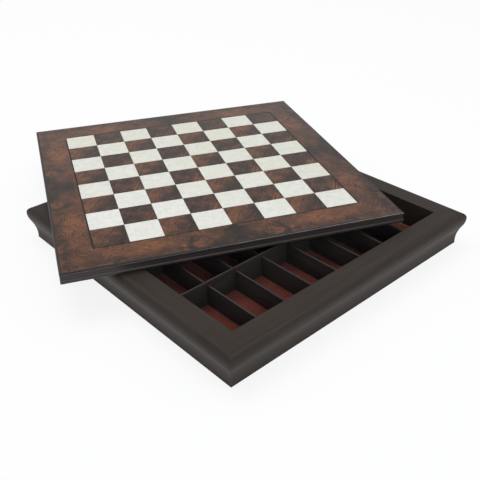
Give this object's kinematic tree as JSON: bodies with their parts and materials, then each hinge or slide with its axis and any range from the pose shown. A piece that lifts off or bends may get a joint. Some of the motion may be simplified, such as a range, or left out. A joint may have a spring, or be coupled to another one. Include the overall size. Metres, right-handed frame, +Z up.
{
  "type": "chess board box",
  "caption": "Square chess board of burl and pale veneers that lies as a loose lid on a dark moulded storage tray divided into compartments for the chessmen.",
  "frame": {"origin": "middle of the tray's underside, on the surface that it stands on", "axes": "+Z up, +X along the tray's front side towards its wider end column, +Y towards the tray's back"},
  "size_m": [0.5344, 0.5743, 0.0565],
  "materials": {
    "dark_stained_wood": "satin lacquer",
    "divider_wood": "satin lacquer",
    "burl_border_veneer": "satin lacquer",
    "burl_square_veneer": "satin lacquer",
    "pale_square_veneer": "satin lacquer",
    "dark_stringing": "satin lacquer",
    "fibreboard": "matt",
    "beech": "matt",
    "red_brown_lining": "matt nap",
    "brown_baize": "matt nap",
    "zinc_plated_steel": "satin"
  },
  "bodies": {
    "tray": {"base_board": "fibreboard", "base_screws": "zinc_plated_steel", "cross_divider_1": "divider_wood", "cross_divider_2": "divider_wood", "cross_divider_3": "divider_wood", "cross_divider_4": "divider_wood", "cross_divider_5": "divider_wood", "cross_divider_6": "divider_wood", "cross_divider_7": "divider_wood", "floor_lining": "red_brown_lining", "long_divider_1": "divider_wood", "long_divider_2": "divider_wood", "long_divider_3": "divider_wood", "mitre_biscuits": "beech", "tray_rail_back": "dark_stained_wood", "tray_rail_front": "dark_stained_wood", "tray_rail_left": "dark_stained_wood", "tray_rail_right": "dark_stained_wood", "underside_baize": "brown_baize"},
    "lid": {"border_veneer_back": "burl_border_veneer", "border_veneer_front": "burl_border_veneer", "border_veneer_left": "burl_border_veneer", "border_veneer_right": "burl_border_veneer", "dark_squares_rank_1": "burl_square_veneer", "dark_squares_rank_2": "burl_square_veneer", "dark_squares_rank_3": "burl_square_veneer", "dark_squares_rank_4": "burl_square_veneer", "dark_squares_rank_5": "burl_square_veneer", "dark_squares_rank_6": "burl_square_veneer", "dark_squares_rank_7": "burl_square_veneer", "dark_squares_rank_8": "burl_square_veneer", "lid_baize": "brown_baize", "lid_core": "fibreboard", "lid_lipping_back": "dark_stained_wood", "lid_lipping_front": "dark_stained_wood", "lid_lipping_left": "dark_stained_wood", "lid_lipping_right": "dark_stained_wood", "light_squares_rank_1": "pale_square_veneer", "light_squares_rank_2": "pale_square_veneer", "light_squares_rank_3": "pale_square_veneer", "light_squares_rank_4": "pale_square_veneer", "light_squares_rank_5": "pale_square_veneer", "light_squares_rank_6": "pale_square_veneer", "light_squares_rank_7": "pale_square_veneer", "light_squares_rank_8": "pale_square_veneer", "stringing_back": "dark_stringing", "stringing_front": "dark_stringing", "stringing_left": "dark_stringing", "stringing_right": "dark_stringing"}
  },
  "joints": [
    {"name": "lid_lift", "type": "slide", "parent": "tray", "child": "lid", "axis": [0, 0, 1], "range_m": [0, 0.15]}
  ]
}
